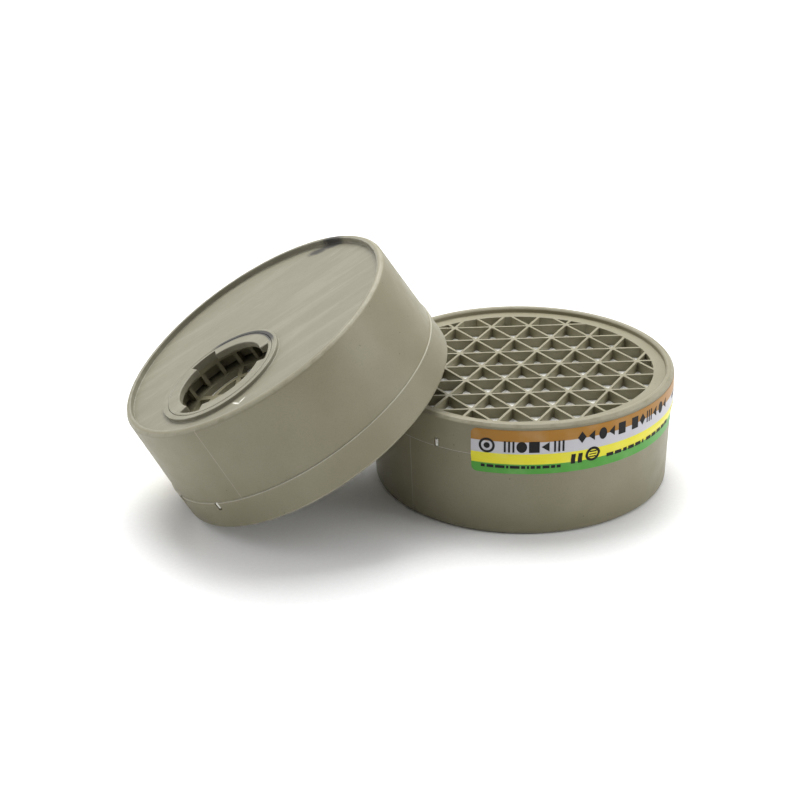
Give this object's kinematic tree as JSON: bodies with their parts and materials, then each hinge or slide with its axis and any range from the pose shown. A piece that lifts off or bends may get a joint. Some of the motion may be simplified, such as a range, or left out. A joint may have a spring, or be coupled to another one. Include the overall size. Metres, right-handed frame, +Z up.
{
  "type": "gas filter cartridge pair",
  "caption": "Pair of round gas filter cartridges for a half mask, each with a front grille, colour-striped label and bayonet socket; one leans on its twin.",
  "frame": {"origin": "on the surface the pair stands on, under the middle of the pair's box", "axes": "+Z up; +X from the leaning cartridge towards the flat one, along the pair's longest side; +Y towards the back"},
  "size_m": [0.1598, 0.11, 0.0746],
  "materials": {
    "shell": "satin",
    "inner_shell": "satin",
    "fleece": "matte",
    "rear_carbon": "matte",
    "front_carbon": "matte",
    "foam": "matte",
    "label": "satin"
  },
  "bodies": {
    "flat_cartridge": {"flat_case": "shell", "flat_bayonet_ring": "shell", "flat_support_grid": "inner_shell", "flat_rear_fleece": "fleece", "flat_rear_bed": "rear_carbon", "flat_middle_fleece": "fleece", "flat_front_bed": "front_carbon", "flat_foam_pad": "foam", "flat_front_fleece": "fleece", "flat_cover": "shell", "flat_label": "label"},
    "leaning_cartridge": {"leaning_case": "shell", "leaning_bayonet_ring": "shell", "leaning_support_grid": "inner_shell", "leaning_rear_fleece": "fleece", "leaning_rear_bed": "rear_carbon", "leaning_middle_fleece": "fleece", "leaning_front_bed": "front_carbon", "leaning_foam_pad": "foam", "leaning_front_fleece": "fleece", "leaning_cover": "shell", "leaning_label": "label"}
  },
  "joints": [
    {"name": "leaning_lift", "type": "slide", "parent": "flat_cartridge", "child": "leaning_cartridge", "axis": [0, 0, 1], "range_m": [0, 0.1]}
  ]
}
